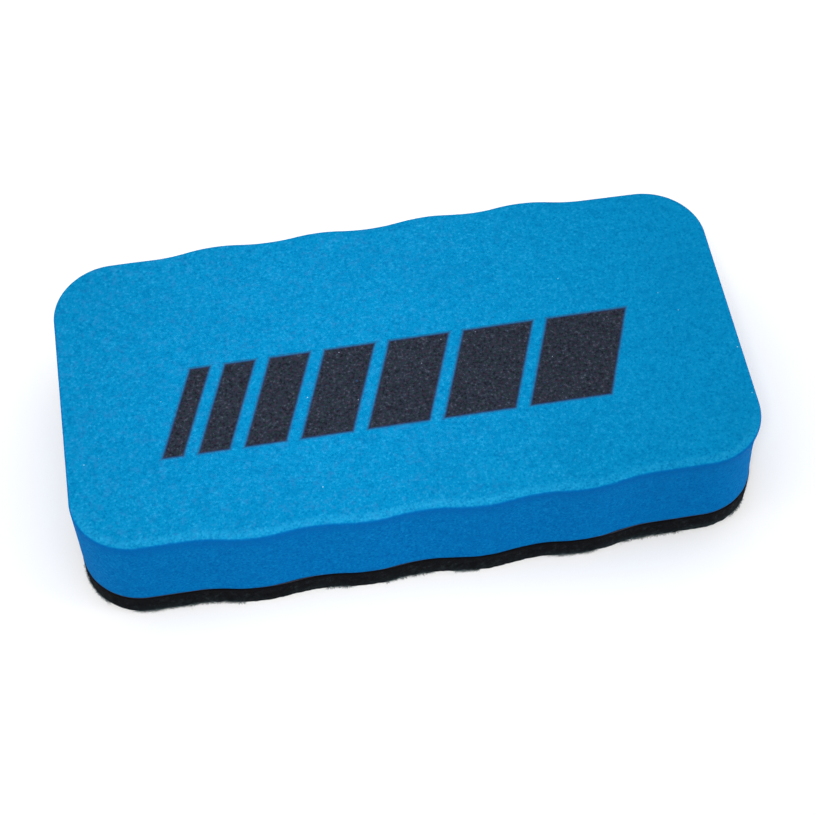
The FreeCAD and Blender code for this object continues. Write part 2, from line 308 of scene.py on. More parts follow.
class Paint:
    """A new material with one Principled shader, and short ways to add nodes to it."""

    def __init__(self, name):
        self.material = bpy.data.materials.new(name)
        self.material.use_nodes = True
        self.nodes = self.material.node_tree.nodes
        self.links = self.material.node_tree.links
        self.shader = next(node for node in self.nodes if node.type == "BSDF_PRINCIPLED")
        self.place = self.add("ShaderNodeTexCoord").outputs["Object"]

    def add(self, kind, **settings):
        node = self.nodes.new(kind)
        for name, value in settings.items():
            setattr(node, name, value)
        return node

    def put(self, value, socket):
        """Links a socket or sets a plain value."""
        if isinstance(value, bpy.types.NodeSocket):
            self.links.new(value, socket)
        else:
            socket.default_value = value

    def noise(self, size, detail=2.0, roughness=0.5, stretch=(1, 1, 1), shift=0.0):
        """Fractal noise whose features are about size across. A shift gives another pattern."""
        node = self.add("ShaderNodeTexNoise")
        mapping = self.add("ShaderNodeMapping")
        mapping.inputs["Scale"].default_value = stretch
        mapping.inputs["Location"].default_value = (shift, shift, shift)
        self.links.new(self.place, mapping.inputs["Vector"])
        self.links.new(mapping.outputs["Vector"], node.inputs["Vector"])
        node.inputs["Scale"].default_value = 1 / size
        node.inputs["Detail"].default_value = detail
        node.inputs["Roughness"].default_value = roughness
        return node.outputs["Fac"]

    def voronoi(self, size):
        """Random cells that are about size across."""
        node = self.add("ShaderNodeTexVoronoi")
        self.links.new(self.place, node.inputs["Vector"])
        node.inputs["Scale"].default_value = 1 / size
        return node

    def cells(self, size):
        """Distance inside random cells that are about size across."""
        return self.voronoi(size).outputs["Distance"]

    def lint(self, size, share, least):
        """1 on dots that fill a share of a cell's width, in the few cells whose number is over least."""
        node = self.voronoi(size)
        split = self.add("ShaderNodeSeparateColor")
        self.links.new(node.outputs["Color"], split.inputs[0])
        dot = self.spread(node.outputs["Distance"], share * 0.6, share, 1.0, 0.0)
        return self.math("MULTIPLY", dot, self.math("GREATER_THAN", split.outputs[0], least))

    def attribute(self, name):
        """A value that the mesh holds at each vertex."""
        return self.add("ShaderNodeAttribute", attribute_name=name).outputs["Fac"]

    def part(self, axis, vector):
        """The X, Y or Z part of a vector."""
        split = self.add("ShaderNodeSeparateXYZ")
        self.links.new(vector, split.inputs[0])
        return split.outputs[axis]

    def math(self, operation, first, second=0.0, third=0.0):
        node = self.add("ShaderNodeMath", operation=operation)
        for value, socket in zip((first, second, third), node.inputs):
            self.put(value, socket)
        return node.outputs[0]

    def spread(self, value, low, high, to_low=0.0, to_high=1.0):
        """Maps low to high onto to_low to to_high, and holds it there."""
        node = self.add("ShaderNodeMapRange", interpolation_type="SMOOTHSTEP")
        for given, socket in zip((value, low, high, to_low, to_high), node.inputs):
            self.put(given, socket)
        return node.outputs[0]

    def mix(self, share, first, second, blend="MIX"):
        """A mix of two colours."""
        node = self.add("ShaderNodeMix", data_type="RGBA", blend_type=blend)
        for value, name in ((share, "Factor_Float"), (first, "A_Color"), (second, "B_Color")):
            socket = next(one for one in node.inputs if one.identifier == name)
            self.put(value if isinstance(value, (float, bpy.types.NodeSocket)) else (*value, 1.0), socket)
        return next(one for one in node.outputs if one.identifier == "Result_Color")

    def bump(self, height, distance, strength=1.0):
        node = self.add("ShaderNodeBump")
        node.inputs["Distance"].default_value = distance
        node.inputs["Strength"].default_value = strength
        self.links.new(height, node.inputs["Height"])
        self.links.new(node.outputs["Normal"], self.shader.inputs["Normal"])

    def set(self, **sockets):
        """Sets the shader's sockets, given by name with _ for a space."""
        for name, value in sockets.items():
            self.put(value, self.shader.inputs[name.replace("_", " ")])


# ---- materials ------------------------------------------------------------------------------------

# Tones are linear red, green and blue.
# The wall tones are darker than the skin tones: painted shade on the cut sides.
SHADED_WALL_TONES = (0.0, 0.116, 0.334), (0.0, 0.080, 0.266), (0.002, 0.176, 0.426)
SKIN_TONES = (0.0008, 0.199, 0.424), (0.0, 0.136, 0.330), (0.017, 0.278, 0.540)
AGED_TONE = (0.030, 0.195, 0.450)
# Painted shade: a darker band on the sides just under the top edge.
SHADE_BAND_TONE = (0.0, 0.088, 0.300)
# Painted highlight along the top's front edge.
FRONT_HIGHLIGHT_TONE = (0.020, 0.320, 0.580)
FOAM_LINT = (0.25, 0.55, 0.70)
SHADE_BAND = 3.6 * MM, 0.6 * MM  # painted shade on the sides just under the top edge: from and to, below the foam's top
INK_TONES = (0.004, 0.005, 0.011), (0.015, 0.021, 0.035), (0.066, 0.078, 0.110)
INK_PLUM, INK_GREEN, INK_SPECK = (0.034, 0.018, 0.033), (0.012, 0.030, 0.022), (0.02, 0.07, 0.18)
INK_RIM = (0.016, 0.030, 0.115)
INK_LINT = (0.25, 0.30, 0.38)
# The last tone of each felt set is the lower rim's tone: painted light from the floor.
BLACK_TONES = (0.001, 0.001, 0.002), (0.0045, 0.0055, 0.007), (0.019, 0.026, 0.029), (0.018, 0.032, 0.036)
NAP_TONES = (0.013, 0.019, 0.022), (0.080, 0.110, 0.120), (0.220, 0.285, 0.300), (0.150, 0.205, 0.220)
RIM_LIGHT_BAND = 0.3 * MM, 2.0 * MM  # painted light from the floor on the felt's lower rim: from and to, above the wiping face
SEAM_SHADE_TONE = (0.0025, 0.002, 0.003)
SEAM_SHADE_BAND = 1.2 * MM, 0.3 * MM  # painted shade where the felt meets the foam: from and to, below the felt's top
FERRITE_TONES, FERRITE_SCRATCH = ((0.018, 0.018, 0.02), (0.055, 0.055, 0.06)), (0.10, 0.10, 0.105)
GLUE_TONES = (0.62, 0.55, 0.38), (0.80, 0.76, 0.62)
FILM_TONES = (0.006, 0.005, 0.010), (0.016, 0.013, 0.026)


def foam_tone(paint, facing_up):
    """The foam's colour and its grain. The mask is 1 on the moulded top and 0 on the die-cut sides, whose
    darker tones are painted shade.
    """
    along = paint.part("X", paint.place)
    grain = paint.noise(0.42 * MM, detail=3.0, roughness=0.65)
    mottle = paint.noise(1.5 * MM, detail=2.0)
    clouds = paint.noise(14 * MM, detail=3.0)
    base, dark, pale = (paint.mix(facing_up, wall, top) for wall, top in zip(SHADED_WALL_TONES, SKIN_TONES))
    tone = paint.mix(paint.spread(grain, 0.30, 0.50), dark, base)
    flecked = paint.spread(along, 15 * MM, 50 * MM, 1.0, 0.5)
    tone = paint.mix(paint.math("MULTIPLY", paint.spread(grain, 0.52, 0.74), flecked), tone, pale)
    tone = paint.mix(paint.spread(mottle, 0.45, 0.75, 0.0, 0.4), tone, dark)
    tone = paint.mix(paint.spread(clouds, 0.40, 0.70, 0.0, 0.15), tone, dark)
    spots = paint.noise(1.1 * MM, detail=3.0, roughness=0.6, shift=5.0)
    aged = paint.math("MULTIPLY", paint.spread(along, -10 * MM, 35 * MM, 0.28, 0.0), facing_up)
    aged = paint.math("MULTIPLY", paint.spread(spots, 0.50, 0.72), aged)
    tone = paint.mix(aged, tone, AGED_TONE)
    return tone, grain


def foam_material():
    """Closed-cell foam: moulded skin on top with a painted highlight at the front edge, and cut cells on
    the sides, in darker tones that are painted shade, with a band of painted shade under the top edge.
    """
    paint = Paint("foam")
    facing = paint.add("ShaderNodeNewGeometry")
    # 1 facing up and 0 on the sides. The sides take the darker wall tones, which are painted shade.
    facing_up = paint.spread(paint.part("Z", facing.outputs["True Normal"]), 0.55, 0.97)
    tone, grain = foam_tone(paint, facing_up)
    # Painted shade on the sides just under the top edge.
    start, end = (FOAM_HIGH.z - depth for depth in SHADE_BAND)
    shade_band = paint.spread(paint.part("Z", paint.place), start, end, 0.0, 0.68)
    shade_band = paint.math("MULTIPLY", shade_band, paint.math("SUBTRACT", 1.0, facing_up))
    tone = paint.mix(shade_band, tone, SHADE_BAND_TONE)
    # Painted highlight: paler along the top's front edge.
    front_highlight = paint.math("MULTIPLY", paint.attribute("front_highlight"), paint.spread(grain, 0.35, 0.60, 0.25, 0.8))
    tone = paint.mix(front_highlight, tone, FRONT_HIGHLIGHT_TONE)
    lint = paint.math("MULTIPLY", paint.lint(2.6 * MM, 0.045, 0.85), facing_up)
    tone = paint.mix(lint, tone, FOAM_LINT)
    paint.set(Base_Color=tone, Specular_IOR_Level=0.01)
    paint.set(Roughness=paint.spread(grain, 0.3, 0.7, 0.85, 0.68))
    cells = paint.cells(0.34 * MM)
    height = paint.math("ADD", paint.math("MULTIPLY", cells, 0.9), paint.math("MULTIPLY", grain, 0.8))
    paint.bump(height, 0.06 * MM, 0.55)
    return paint.material


def ink_material():
    """Matt screen ink on the foam's grain. It bleeds into the foam at its edges and catches lint."""
    paint = Paint("ink")
    grain = paint.noise(0.45 * MM, detail=3.0, roughness=0.65)
    plum = paint.noise(0.55 * MM, detail=2.0, roughness=0.6, shift=3.0)
    specks = paint.noise(0.8 * MM, detail=2.0, roughness=0.6)
    bleed = paint.attribute("bleed")
    dark, body, pale = INK_TONES
    tone = paint.mix(paint.spread(grain, 0.32, 0.52), dark, body)
    tone = paint.mix(paint.spread(grain, 0.54, 0.76), tone, pale)
    tone = paint.mix(paint.spread(plum, 0.50, 0.66, 0.0, 0.45), tone, INK_PLUM)
    tone = paint.mix(paint.spread(plum, 0.34, 0.50, 0.45, 0.0), tone, INK_GREEN)
    tone = paint.mix(paint.spread(specks, 0.66, 0.8, 0.0, 0.5), tone, INK_SPECK)
    tone = paint.mix(paint.spread(bleed, 0.0, 0.6, 0.0, 0.6), tone, INK_RIM)
    foam, _ = foam_tone(paint, 1.0)
    tone = paint.mix(paint.spread(bleed, 0.25, 1.0, 0.0, 0.85), tone, foam)
    tone = paint.mix(paint.lint(1.9 * MM, 0.05, 0.72), tone, INK_LINT)
    paint.set(Base_Color=tone, Specular_IOR_Level=0.05, Roughness=paint.spread(grain, 0.3, 0.7, 0.8, 0.6))
    paint.bump(grain, 0.05 * MM, 0.5)
    return paint.material


def felt_material(name, dark, body, pale, rim):
    """Matted needle felt: tangled fibres in several tones, the rim's tone on its lower rim as painted light
    from the floor, and painted shade at its top.

    The painted light on the lower rim is strongest at the right end.
    """
    paint = Paint(name)
    tangle = paint.noise(0.28 * MM, detail=4.0, roughness=0.7, stretch=(1.0, 1.0, 2.2))
    strands = paint.noise(0.8 * MM, detail=4.0, roughness=0.75, stretch=(1.0, 1.0, 0.8))
    tufts = paint.noise(3.5 * MM, detail=2.0)
    tone = paint.mix(paint.spread(tangle, 0.35, 0.6), dark, body)
    tone = paint.mix(paint.spread(strands, 0.50, 0.70, 0.0, 0.7), tone, pale)
    tone = paint.mix(paint.spread(tufts, 0.4, 0.7, 0.0, 0.5), tone, dark)
    height = paint.part("Z", paint.place)
    # Painted light from the floor on the lower rim, strongest at the right end.
    start, end = (FELT_LOW.z + rise for rise in RIM_LIGHT_BAND)
    rim_light = paint.spread(height, start, end, 0.6, 0.0)
    rim_light = paint.math("MULTIPLY", rim_light, paint.spread(tangle, 0.40, 0.60, 0.1, 1.0))
    rim_light = paint.math("MULTIPLY", rim_light, paint.spread(tufts, 0.35, 0.65, 1.0, 0.4))
    rim_light_along = paint.spread(paint.part("X", paint.place), 15 * MM, 45 * MM, 0.8, 1.7)
    rim_light = paint.math("MULTIPLY", rim_light, rim_light_along)
    tone = paint.mix(rim_light, tone, rim)
    # Painted shade at the top of the felt, under the foam.
    start, end = (FELT_HIGH.z - depth for depth in SEAM_SHADE_BAND)
    seam_shade = paint.spread(height, start, end, 0.0, 0.7)
    tone = paint.mix(seam_shade, tone, SEAM_SHADE_TONE)
    paint.set(Base_Color=tone, Specular_IOR_Level=0.05, Roughness=0.95)
    paint.bump(paint.math("ADD", tangle, strands), 0.16 * MM, 0.8)
    return paint.material


def ferrite_material():
    """Sintered ferrite: dark grey, finely grained, with faint grinding marks."""
    paint = Paint("ferrite")
    grain = paint.noise(0.25 * MM, detail=4.0, roughness=0.7)
    marks = paint.noise(0.5 * MM, detail=2.0, stretch=(0.08, 1.0, 1.0))
    tone = paint.mix(paint.spread(grain, 0.35, 0.65), *FERRITE_TONES)
    tone = paint.mix(paint.spread(marks, 0.55, 0.8, 0.0, 0.4), tone, FERRITE_SCRATCH)
    paint.set(Base_Color=tone, Metallic=0.25, Roughness=paint.spread(grain, 0.3, 0.7, 0.38, 0.62))
    paint.bump(paint.math("ADD", grain, marks), 0.03 * MM, 0.6)
    return paint.material


def glue_material():
    """Hot-melt glue: cloudy amber-white with a waxy gloss."""
    paint = Paint("glue")
    clouds = paint.noise(2.2 * MM, detail=3.0)
    fine = paint.noise(0.4 * MM, detail=2.0)
    tone = paint.mix(paint.spread(clouds, 0.35, 0.7), *GLUE_TONES)
    paint.set(Base_Color=tone, Roughness=paint.spread(fine, 0.3, 0.7, 0.25, 0.42), Specular_IOR_Level=0.5)
    paint.bump(clouds, 0.1 * MM, 0.5)
    return paint.material


def film_material():
    """Black bonding film, wrinkled and slightly glossy where it squeezes out at the seam."""
    paint = Paint("adhesive_film")
    ripples = paint.noise(1.2 * MM, detail=3.0, roughness=0.6)
    fine = paint.noise(0.3 * MM, detail=2.0)
    tone = paint.mix(paint.spread(ripples, 0.35, 0.7), *FILM_TONES)
    paint.set(Base_Color=tone, Roughness=paint.spread(fine, 0.3, 0.7, 0.45, 0.75), Specular_IOR_Level=0.3)
    paint.bump(ripples, 0.05 * MM, 0.6)
    return paint.material


# ---- the foam block -------------------------------------------------------------------------------

WAIST = 0.2 * MM  # how far the cut sides pull in half way along: none at the left end, twice at the right
WAIST_SHAPE = 0.756  # puts the narrowest place 40% of the way down
FOAM_RAG, RAG_SIZE = 0.035 * MM, 2.6 * MM  # depth and width of the cut sides' unevenness
FOOT_ROUND = 0.1 * MM
EDGE_RADIUS = 0.46 * MM
ROLL = 0.06 * MM  # how far the top rolls down towards its edge
ROLL_WIDTH = 1.4 * MM
# Painted highlight along the top's front edge, kept in the mesh as an attribute.
HIGHLIGHT_WIDTH = 1.8 * MM
HIGHLIGHT_TURN = 1.6  # how soon the painted highlight is full as the outline turns to the front
HIGHLIGHT_MOST, HIGHLIGHT_LEAST = 0.45, 0.28
HIGHLIGHT_FALL = 12 * MM, 25.6 * MM  # right of the middle, where the painted highlight falls from most to least
TOP_DIP = 0.05 * MM
TOP_SWELL, SWELL_SIZE = 0.045 * MM, 16 * MM
FOAM_SPACING = 0.32 * MM
TOP_SPACING, HIDDEN_SPACING = 1.0 * MM, 1.5 * MM
POCKET_POINTS = 120
WALL_ROWS, EDGE_ROWS, ROLL_ROWS = 26, 7, 9


def top_height(x, y):
    """The foam's top, which dips and swells by a few hundredths of a millimetre."""
    return FOAM_HIGH.z - TOP_DIP + TOP_SWELL * wobble((x, y, 0), SWELL_SIZE, TOP_PATTERN)


def waist(depth, along):
    """How far the side is in from the outline, at a share of the way down and places along the length."""
    pull = WAIST * (1 + along / FOAM_HIGH.x)
    return pull * math.sin(math.pi * depth**WAIST_SHAPE)


def highlight_share(flat, normals):
    """How strong the painted highlight on the top is at each place of the outline: most along the front,
    less at its right end.
    """
    front = np.clip(-HIGHLIGHT_TURN * normals[:, 1], 0, 1)
    return front * np.interp(flat[:, 0], HIGHLIGHT_FALL, (HIGHLIGHT_MOST, HIGHLIGHT_LEAST))


def make_foam(material):
    """The block: waisted walls, a soft top edge and two pockets in the underside."""
    shape = Shape()
    flat, normals = outline(FOAM_SPACING)
    highlight_round = highlight_share(flat, normals)
    rings = []

    def add_ring(inset, heights, front_highlight=0.0):
        places = flat - normals * np.broadcast_to(inset, len(flat))[:, None]
        rings.append(shape.ring(places, heights, front_highlight * highlight_round))

    def highlight_at(inset):
        """A bump of painted highlight that is strongest a little in from the edge."""
        return math.sin(math.pi * min(inset / HIGHLIGHT_WIDTH, 1.0))

    foot = FOAM_LOW.z
    shoulder = FOAM_HIGH.z - TOP_DIP - TOP_SWELL - ROLL - EDGE_RADIUS
    add_ring(FOOT_ROUND, foot)
    for row in range(WALL_ROWS):
        share = row / WALL_ROWS
        z = foot + FOOT_ROUND + (shoulder - foot) * share
        ragged = np.array([FOAM_RAG * wobble((x, y, z), RAG_SIZE, WALL_PATTERN) for x, y in flat])
        add_ring(waist(1 - share, flat[:, 0]) - ragged, z)
    rim = np.array([top_height(x, y) for x, y in flat]) - ROLL
    for row in range(EDGE_ROWS):
        angle = math.pi / 2 * row / EDGE_ROWS
        inset = EDGE_RADIUS * (1 - math.cos(angle))
        add_ring(inset, rim - EDGE_RADIUS * (1 - math.sin(angle)), highlight_at(inset))
    for row in range(ROLL_ROWS):
        share = row / (ROLL_ROWS - 1)
        inset = EDGE_RADIUS + ROLL_WIDTH * share
        add_ring(inset, rim + ROLL * (1 - (1 - share) ** 2), highlight_at(inset))
    for low, high in zip(rings, rings[1:]):
        shape.bridge(low, high)
    shape.cap(rings[-1], [], TOP_SPACING, True, top_height)

    holes = []
    for low, high in MAGNETS:
        centre = ((low.x + high.x) / 2, (low.y + high.y) / 2)
        mouth_ring = circle(centre, (high.x - low.x) / 2 + POCKET_CLEARANCE, POCKET_POINTS)
        mouth = shape.ring(mouth_ring, FOAM_LOW.z)
        ceiling = shape.ring(mouth_ring, GLUE_TOP)
        shape.bridge(ceiling, mouth)
        shape.cap(ceiling, [], HIDDEN_SPACING, False, level(GLUE_TOP))
        holes.append(mouth)
    shape.cap(rings[0], holes, HIDDEN_SPACING, False, level(FOAM_LOW.z))
    return shape.build("foam_block", material, sharp_angle=50, values_name="front_highlight")


# ---- the printed mark -----------------------------------------------------------------------------

STRIPE_SHARES = (2, 3, 4, 5, 6, 7, 8)
STRIPE_SLANT = 6.0 * MM
STRIPE_GAP = 2.4 * MM
INK_SPACING = 0.22 * MM
INK_LIFT = 0.02 * MM
INK_SINK = 0.03 * MM
INK_SPREAD = 0.36 * MM  # how far the bleeding edge reaches outside the stripe
INK_BLEED = 0.75 * MM  # width of the bleeding edge
INK_RAG, INK_RAG_SIZE = 0.07 * MM, 0.5 * MM
INK_BANDS = (0.0, 0.33, 0.67, 1.0)  # shares of the bleeding edge, from outside to inside


def stripes():
    """The corners of each printed stripe, counter-clockwise from the front left."""
    gaps = STRIPE_GAP * (len(STRIPE_SHARES) - 1)
    ink = MARK_HIGH.x - MARK_LOW.x - STRIPE_SLANT - gaps
    left = MARK_LOW.x
    for share in STRIPE_SHARES:
        width = ink * share / sum(STRIPE_SHARES)
        yield [
            (left, MARK_LOW.y),
            (left + width, MARK_LOW.y),
            (left + width + STRIPE_SLANT, MARK_HIGH.y),
            (left + STRIPE_SLANT, MARK_HIGH.y),
        ]
        left += width + STRIPE_GAP


def inset_corners(corners, inset):
    """The corners of a parallelogram whose edges have all moved in by the same distance."""
    corners = np.array(corners)
    moved = []
    for before, here, after in zip(np.roll(corners, 1, axis=0), corners, np.roll(corners, -1, axis=0)):
        first = (here - before) / np.linalg.norm(here - before)
        second = (after - here) / np.linalg.norm(after - here)
        turn = first[0] * second[1] - first[1] * second[0]
        moved.append(here + (second - first) * inset / turn)
    return np.array(moved)


def make_mark(material):
    """The ink, a thin skin on the foam's top with slightly ragged edges."""
    shape = Shape()

    def ink_top(x, y):
        return top_height(x, y) + INK_LIFT

    def ink_foot(x, y):
        return top_height(x, y) - INK_SINK

    for number, corners in enumerate(stripes()):
        sides = zip(corners, corners[1:] + corners[:1])
        counts = [round(math.dist(start, end) / INK_SPACING) for start, end in sides]
        bands = []
        for share in INK_BANDS:
            moved = inset_corners(corners, INK_BLEED * share - INK_SPREAD)
            ring = []
            for start, end, count in zip(moved, np.roll(moved, -1, axis=0), counts):
                ring += [start + (end - start) * step / count for step in range(count)]
            for point in ring:
                x, y = point
                drift = [
                    wobble((x, y, side * MM), INK_RAG_SIZE, INK_PATTERN + number) for side in (0, 1)
                ]
                point += np.array(drift) * INK_RAG * (1 - share)
            if not bands:
                bands.append(shape.ring(ring, [ink_foot(x, y) for x, y in ring], 1.0))
            bands.append(shape.ring(ring, [ink_top(x, y) for x, y in ring], 1 - share))
        for outer, inner in zip(bands, bands[1:]):
            shape.bridge(outer, inner)
        shape.cap(bands[-1], [], TOP_SPACING, True, ink_top)
        shape.cap(bands[0], [], TOP_SPACING, False, ink_foot)
    return shape.build("printed_stripes", material, values_name="bleed")


# ---- the felt -------------------------------------------------------------------------------------

FELT_SPACING = 0.3 * MM
FELT_PROUD = 0.08 * MM  # how far the felt stands out past the foam
FELT_EDGE = 0.25 * MM
FELT_LIFT = 0.06 * MM
FELT_GAP = 0.02 * MM  # under the bonding film
FELT_ROWS, RIM_ROWS = 12, 6
COARSE_DEPTH, COARSE_SIZE = 0.07 * MM, 1.3 * MM
FINE_DEPTH, FINE_SIZE = 0.05 * MM, 0.5 * MM
RIM_ROUGHNESS, SEAM_ROUGHNESS = 1.6, 0.2  # against 1 on the cut edge
BONDED_SPACING, FACE_SPACING = 2.0 * MM, 0.7 * MM


def felt_relief(place):
    """How far the matted fibres stand out at a place."""
    coarse = wobble(place, COARSE_SIZE, COARSE_FELT)
    fine = wobble(place, FINE_SIZE, FINE_FELT)
    return COARSE_DEPTH * coarse + FINE_DEPTH * fine


def make_felt(material):
    """The felt sole, with a matted cut edge and a worn-round lower rim."""
    shape = Shape()
    flat, normals = outline(FELT_SPACING)
    floor = FELT_LOW.z + FELT_LIFT
    side_foot = floor + FELT_EDGE
    top = FELT_HIGH.z - FELT_GAP
    rings = []

    def add_ring(z, inset, roughness):
        relief = roughness * np.array([felt_relief((x, y, z)) for x, y in flat])
        rings.append(shape.ring(flat + normals * (FELT_PROUD - inset + relief[:, None]), z))

    def underside(x, y):
        return max(FELT_LOW.z + FELT_GAP, floor + felt_relief((x, y, 0)))

    for row in range(RIM_ROWS):
        angle = math.pi / 2 * row / RIM_ROWS
        inset = FELT_EDGE * (1 - math.sin(angle))
        add_ring(floor + FELT_EDGE * (1 - math.cos(angle)), inset, RIM_ROUGHNESS)
    for row in range(FELT_ROWS):
        add_ring(side_foot + (top - side_foot) * row / FELT_ROWS, 0.0, 1.0)
    add_ring(top, 0.0, SEAM_ROUGHNESS)
    for low, high in zip(rings, rings[1:]):
        shape.bridge(low, high)
    shape.cap(rings[-1], [], BONDED_SPACING, True, level(top))
    shape.cap(rings[0], [], FACE_SPACING, False, underside)
    return shape.build("felt_sole", material)


# ---- loose fibres ---------------------------------------------------------------------------------

FIBRE_RADIUS = 0.018 * MM
TUFT_RADIUS = 0.028 * MM  # of the strands in the pale tufts at the lower rim
TUFT_SIZE = 5.0 * MM
FIBRE_ROOT = 0.06 * MM  # how deep a fibre starts inside the felt
FIBRE_STEPS = 4
FIBRE_LENGTH = 0.7 * MM
FIBRE_TAPER = 0.5  # share of its thickness that a fibre would lose along its length, but its end is a point
FIBRE_ANGLES = [turn * 2 * math.pi / 3 for turn in range(3)]
RIM_TOP = FELT_LOW.z + 0.7 * MM
EDGE_BAND = (RIM_TOP, FELT_HIGH.z - 0.5 * MM)  # heights between which the fibres have their roots
RIM_BAND = (FELT_LOW.z + 0.15 * MM, RIM_TOP)
OFF_AXIS = (0.31, 0.52, 0.79)  # a direction that no fibre takes
FLOOR_GAP = 0.005 * MM
FACE_OUTLINE = 2 * MM  # spacing of the outline that the face's fibres keep inside
EDGE_FIBRES, RIM_FIBRES, FACE_FIBRES = 2600, 9000, 1800
FACE_FIBRE_HEIGHT = 0.09 * MM
FACE_FIBRE_LENGTHS = 0.8 * MM, 2.2 * MM
FACE_INSET = 0.985  # scale of that outline


def kept_above(place):
    """The place, or the place just above the floor where it would be lower."""
    return (place[0], place[1], max(place[2], FELT_LOW.z + FLOOR_GAP))


def fibres(name, roots, directions, lengths, bends, material, thickness=FIBRE_RADIUS):
    """Thin tapering strands as one mesh. Each leaves its root and bends towards its own bend vector."""
    shape = Shape()
    for root, direction, length, bend in zip(roots, directions, lengths, bends):
        direction = direction / np.linalg.norm(direction)
        across = np.cross(direction, OFF_AXIS)
        across /= np.linalg.norm(across)
        other = np.cross(direction, across)
        rings = []
        for step in range(FIBRE_STEPS):
            share = step / FIBRE_STEPS
            middle = root + length * (direction * share + bend * share**2)
            radius = thickness * (1 - FIBRE_TAPER * share)
            spokes = [math.cos(angle) * across + math.sin(angle) * other for angle in FIBRE_ANGLES]
            rings.append(shape.add_points([kept_above(middle + radius * spoke) for spoke in spokes], 0.0))
        (tip,) = shape.add_points([kept_above(root + length * (direction + bend))], 0.0)
        shape.faces.append(tuple(reversed(rings[0])))
        for low, high in zip(rings, rings[1:]):
            shape.bridge(low, high)
        last = rings[-1]
        shape.faces += [(here, after, tip) for here, after in zip(last, last[1:] + last[:1])]
    return shape.build(name, material)


def side_fibres(name, count, band, stand_out, droop, material, tufted=False):
    """Fibres on the felt's cut edge, in a band between two heights, all round or only in tufts."""
    flat, normals = outline(FELT_SPACING)
    picks = rng.integers(0, len(flat), count)
    if tufted:
        in_tuft = [wobble((*flat[pick], 0), TUFT_SIZE, TUFT_PATTERN) > 0 for pick in picks]
        picks = picks[np.array(in_tuft)]
        count = len(picks)
    heights = rng.uniform(*band, count)
    outward = np.concatenate([normals[picks], np.zeros((count, 1))], axis=1)
    along = np.stack([-outward[:, 1], outward[:, 0], np.zeros(count)], axis=1)
    roots = np.concatenate([flat[picks], heights[:, None]], axis=1)
    roots = roots + outward * (FELT_PROUD - FIBRE_ROOT)
    sweep = rng.normal(0, 1, (count, 1))
    rise = rng.normal(-droop, 0.5, (count, 1))
    directions = outward * stand_out + along * sweep + rise * UP
    bends = along * rng.normal(0, 0.35, (count, 1)) + UP * rng.normal(-0.2, 0.2, (count, 1))
    lengths = rng.uniform(0.4, 1.0, count) * FIBRE_LENGTH
    thickness = TUFT_RADIUS if tufted else FIBRE_RADIUS
    return fibres(name, roots, directions, lengths, bends, material, thickness)


def face_fibres(name, count, material):
    """Fibres lying on the wiping face."""
    flat, _ = outline(FACE_OUTLINE)
    places = rng.uniform((CAD_LOW.x, CAD_LOW.y), (CAD_HIGH.x, CAD_HIGH.y), (3 * count, 2))
    places = places[inside(places, flat * FACE_INSET)][:count]
    count = len(places)
    angles = rng.uniform(0, 2 * math.pi, count)
    heights = np.full((count, 1), FELT_LOW.z + FACE_FIBRE_HEIGHT)
    roots = np.concatenate([places, heights], axis=1)
    directions = np.stack([np.cos(angles), np.sin(angles), rng.uniform(-0.03, 0.0, count)], axis=1)
    turns = np.stack([-np.sin(angles), np.cos(angles), np.zeros(count)], axis=1)
    bends = turns * rng.normal(0, 0.4, (count, 1))
    lengths = rng.uniform(*FACE_FIBRE_LENGTHS, count)
    return fibres(name, roots, directions, lengths, bends, material)


# ---- the room, the lights and the camera ----------------------------------------------------------

FLOOR_SIZE = 6.0
FLOOR_TONES = (0.95, 0.95, 0.95), (0.97, 0.97, 0.97)
ROOM_LIGHT = 1.0
# Each soft box's name, place, size, power and the angle that its light fans out by.
BOX_LIGHTS = (
    ("overhead", (0, -0.10, 0.90), 1.0, 0.6, 180),
    ("left_fill", (-0.75, -0.10, 0.16), 0.3, 0.15, 60),
    ("right_fill", (0.70, -0.20, 0.16), 0.3, 0.28, 60),
)
KEY_PLACE, KEY_AIM = (-0.09, -0.21, 0.33), (-0.012, 0.0, FOAM_HIGH.z)
KEY_CONE, KEY_POWER, KEY_SIZE = 20.5, 3.4, 40 * MM  # the cone in degrees
FOCAL_LENGTH = 87.0  # mm on a 36 mm sensor
CAMERA_AZIMUTH, CAMERA_ELEVATION, CAMERA_ROLL = -8.15, 56.05, -1.45  # degrees
CAMERA_DISTANCE = 331.6 * MM
CAMERA_SHIFT = (0.92 * MM, 1.10 * MM)  # from the foot of the foam to the middle of the view


def make_floor():
    """A plain pale floor."""
    paint = Paint("floor")
    mottle = paint.noise(60 * MM, detail=2.0)
    paint.set(Base_Color=paint.mix(mottle, *FLOOR_TONES), Roughness=0.9, Specular_IOR_Level=0.05)
    half = FLOOR_SIZE / 2
    mesh = bpy.data.meshes.new("floor")
    corners = [(-half, -half, 0), (half, -half, 0), (half, half, 0), (-half, half, 0)]
    mesh.from_pydata(corners, [], [(0, 1, 2, 3)])
    mesh.materials.append(paint.material)
    floor = bpy.data.objects.new("floor", mesh)
    floor.location.z = FELT_LOW.z
    bpy.context.scene.collection.objects.link(floor)


def hang_light(data, place, aim):
    """Puts a light at a place, facing a point."""
    lamp = bpy.data.objects.new(data.name, data)
    lamp.location = place
    lamp.rotation_mode = "QUATERNION"
    lamp.rotation_quaternion = (Vector(aim) - Vector(place)).to_track_quat("-Z", "Y")
    bpy.context.scene.collection.objects.link(lamp)


